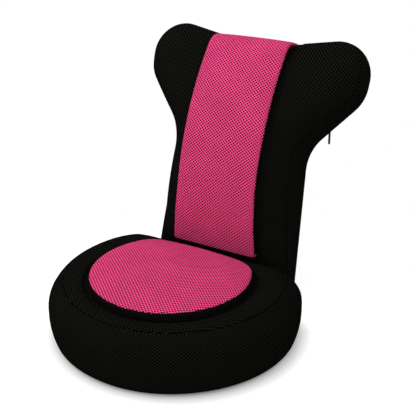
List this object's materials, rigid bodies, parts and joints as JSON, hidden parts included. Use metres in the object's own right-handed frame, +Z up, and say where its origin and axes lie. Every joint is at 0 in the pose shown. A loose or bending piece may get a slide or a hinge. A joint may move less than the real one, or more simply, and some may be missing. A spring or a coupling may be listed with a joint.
{
  "type": "floor gaming chair",
  "caption": "Legless floor chair with a round padded seat and a winged padded back that reclines on ratchet hinges, in mesh cloth with raised centre pads.",
  "frame": {"origin": "on the floor, under the middle of the round seat", "axes": "+Z up, -Y the way the chair faces, +X to the right seen from the front"},
  "size_m": [0.563, 0.6937, 0.6076],
  "materials": {
    "black_mesh": "black air mesh cloth",
    "pink_mesh": "deep pink air mesh cloth",
    "base_cloth": "non-slip base cloth",
    "foam": "open polyurethane foam",
    "frame_paint": "black powder coat",
    "webbing": "elastic webbing",
    "hinge_steel": "zinc plated",
    "zip_cloth": "woven zip tape",
    "zip_coil": "nylon coil",
    "zip_metal": "grey zinc casting",
    "pull_plastic": "dark grey"
  },
  "bodies": {
    "seat": {"seat_cover": "black_mesh", "seat_base_cloth": "base_cloth", "seat_pad_strip": "black_mesh", "seat_top_panel": "pink_mesh", "seat_pad_foam": "foam", "seat_upper_foam": "foam", "seat_lower_foam": "foam", "seat_edge_foam": "foam", "seat_frame_hoop": "frame_paint", "seat_cross_rods": "frame_paint", "seat_webbing": "webbing", "crease_cloth": "black_mesh", "hinge_outer_cheek_left": "hinge_steel", "hinge_inner_cheek_left": "hinge_steel", "hinge_pivot_pin_left": "hinge_steel", "hinge_spacers_left": "hinge_steel", "pawl_pins_left": "hinge_steel", "pawl_spring_left": "hinge_steel", "cheek_rivets_left": "hinge_steel", "hinge_outer_cheek_right": "hinge_steel", "hinge_inner_cheek_right": "hinge_steel", "hinge_pivot_pin_right": "hinge_steel", "hinge_spacers_right": "hinge_steel", "pawl_pins_right": "hinge_steel", "pawl_spring_right": "hinge_steel", "cheek_rivets_right": "hinge_steel"},
    "back": {"back_cover": "black_mesh", "back_rear_panel": "black_mesh", "back_pad_strips": "black_mesh", "back_centre_panel": "pink_mesh", "back_pad_foam": "foam", "back_front_foam": "foam", "back_edge_foam": "foam", "back_rear_foam": "foam", "back_frame_hoop": "frame_paint", "back_cross_rods": "frame_paint", "back_webbing": "webbing", "zip_tape": "zip_cloth", "zip_coil": "zip_coil", "zip_stops": "zip_metal", "ratchet_plate_left": "hinge_steel", "ratchet_rivets_left": "hinge_steel", "ratchet_plate_right": "hinge_steel", "ratchet_rivets_right": "hinge_steel"},
    "pawl_left": {"pawl_left": "hinge_steel"},
    "pawl_right": {"pawl_right": "hinge_steel"},
    "zip_slider": {"zip_slider": "zip_metal"},
    "zip_pull": {"zip_pull": "pull_plastic"}
  },
  "joints": [
    {"name": "recline", "type": "hinge", "parent": "seat", "child": "back", "pos_m": [0, 0.197, 0.06], "axis": [-1, 0, 0], "range_deg": [-12, 72], "deforming": ["crease_cloth"]},
    {"name": "pawl_left_rock", "type": "hinge", "parent": "seat", "child": "pawl_left", "pos_m": [-0.143, 0.15503, 0.03998], "axis": [1, 0, 0], "range_deg": [0, 7], "deforming": ["pawl_spring_left"]},
    {"name": "pawl_right_rock", "type": "hinge", "parent": "seat", "child": "pawl_right", "pos_m": [0.143, 0.15503, 0.03998], "axis": [1, 0, 0], "range_deg": [0, 7], "deforming": ["pawl_spring_right"]},
    {"name": "zip_slide", "type": "slide", "parent": "back", "child": "zip_slider", "axis": [-1, 0, 0], "range_m": [0, 0.3856]},
    {"name": "zip_pull_swing", "type": "hinge", "parent": "zip_slider", "child": "zip_pull", "pos_m": [0.1928, 0.37092, 0.41146], "axis": [1, 0, 0], "range_deg": [-18, 150]}
  ]
}
